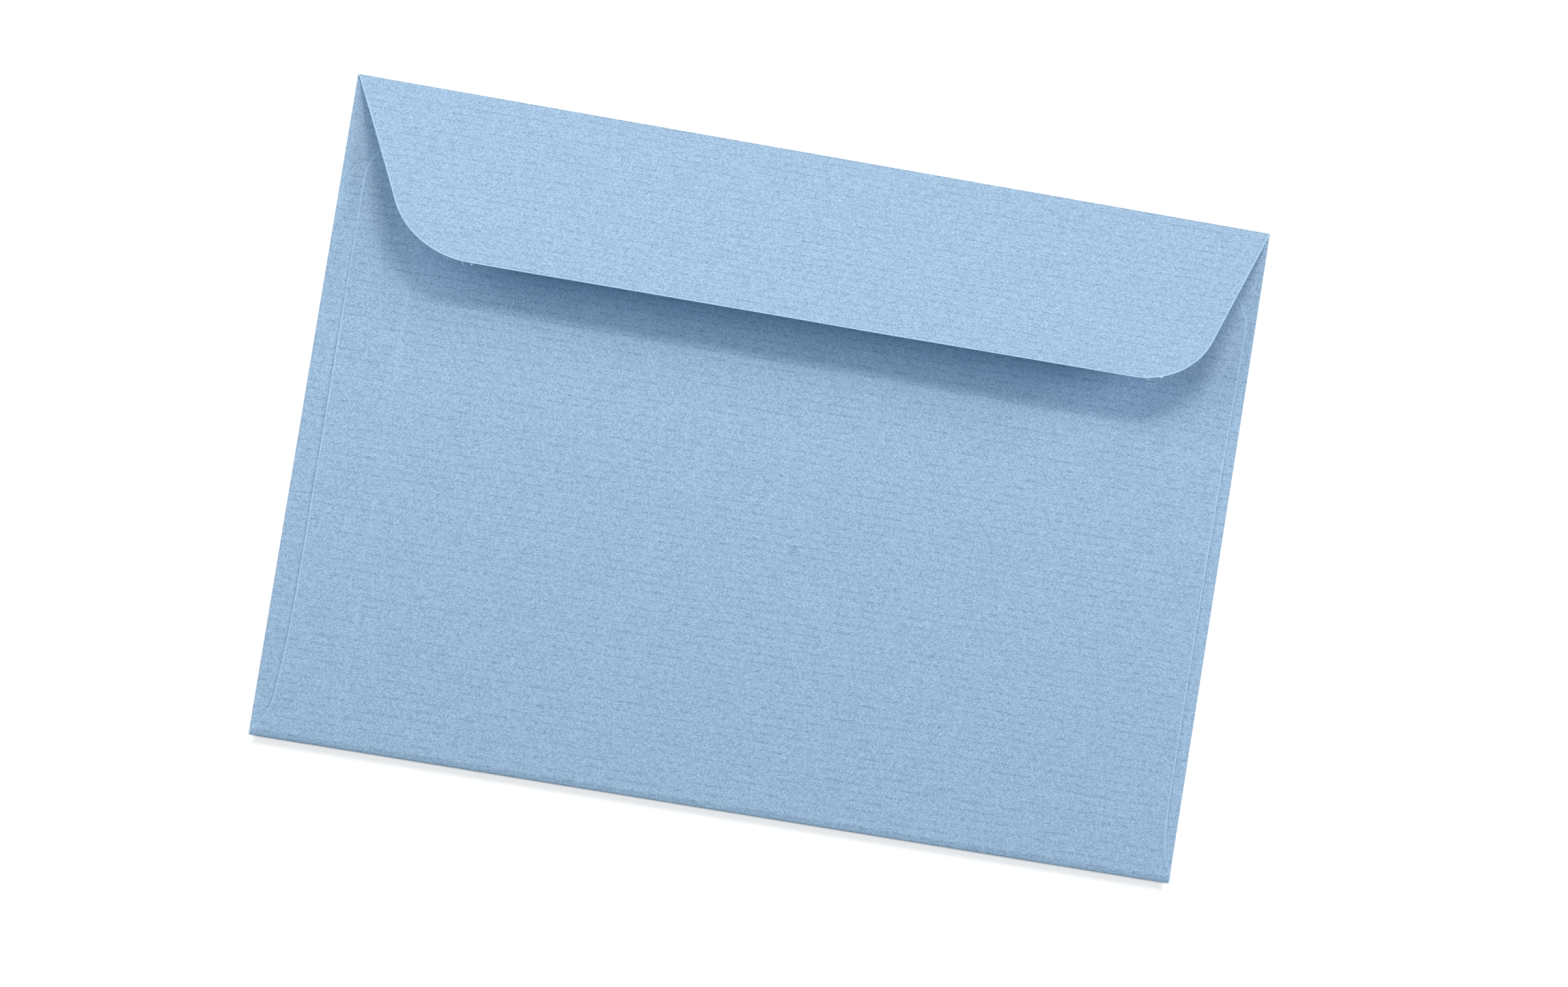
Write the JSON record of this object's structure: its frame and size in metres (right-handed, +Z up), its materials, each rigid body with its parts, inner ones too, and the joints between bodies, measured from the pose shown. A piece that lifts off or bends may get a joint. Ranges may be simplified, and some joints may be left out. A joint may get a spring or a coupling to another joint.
{
  "type": "paper envelope",
  "caption": "Wallet envelope folded from laid paper, with glued side seams and a straight seal flap that stands open.",
  "frame": {"origin": "under the middle of the front panel, on the surface that the envelope lies on", "axes": "+X along the long edge, +Y towards the fold of the seal flap, +Z up out of the back of the envelope"},
  "size_m": [0.176, 0.125, 0.0159],
  "materials": {
    "paper": "matte laid paper, light blue"
  },
  "bodies": {
    "root": {"envelope": "paper"}
  },
  "joints": []
}
